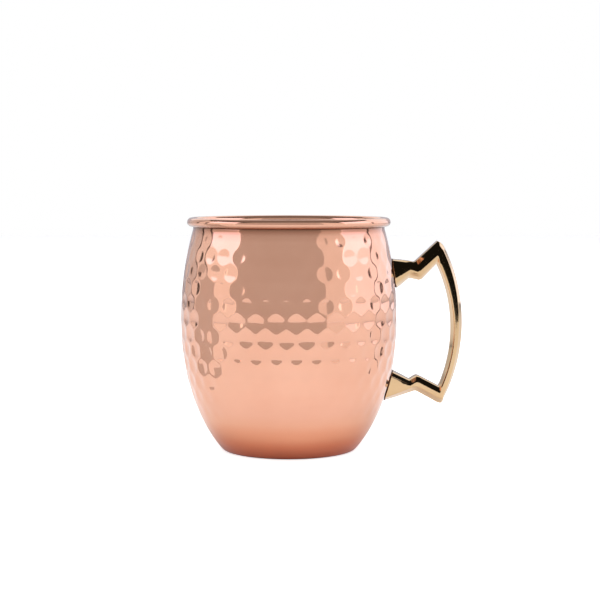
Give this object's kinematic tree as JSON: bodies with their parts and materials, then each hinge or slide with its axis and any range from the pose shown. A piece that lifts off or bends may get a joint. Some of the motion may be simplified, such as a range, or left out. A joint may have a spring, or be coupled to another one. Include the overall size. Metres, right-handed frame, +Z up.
{
  "type": "copper mug",
  "caption": "Barrel-shaped hammered copper drinking mug with a rolled rim, a smooth steel liner, and an angular cast brass handle riveted to its side.",
  "frame": {"origin": "centre of the flat base, on the mug's axis, in the plane that it stands on", "axes": "+Z up along the mug's axis, +X towards the handle, +Y completes a right-handed frame"},
  "size_m": [0.1211, 0.093, 0.1],
  "materials": {
    "copper": "hammered, polished and lacquered",
    "steel": "satin",
    "brass": "mirror polished",
    "rivet_brass": "polished",
    "washer_steel": "satin"
  },
  "bodies": {
    "root": {"copper_shell": "copper", "steel_liner": "steel", "brass_handle": "brass", "upper_rivet": "rivet_brass", "lower_rivet": "rivet_brass", "upper_rivet_washer": "washer_steel", "lower_rivet_washer": "washer_steel"}
  },
  "joints": []
}
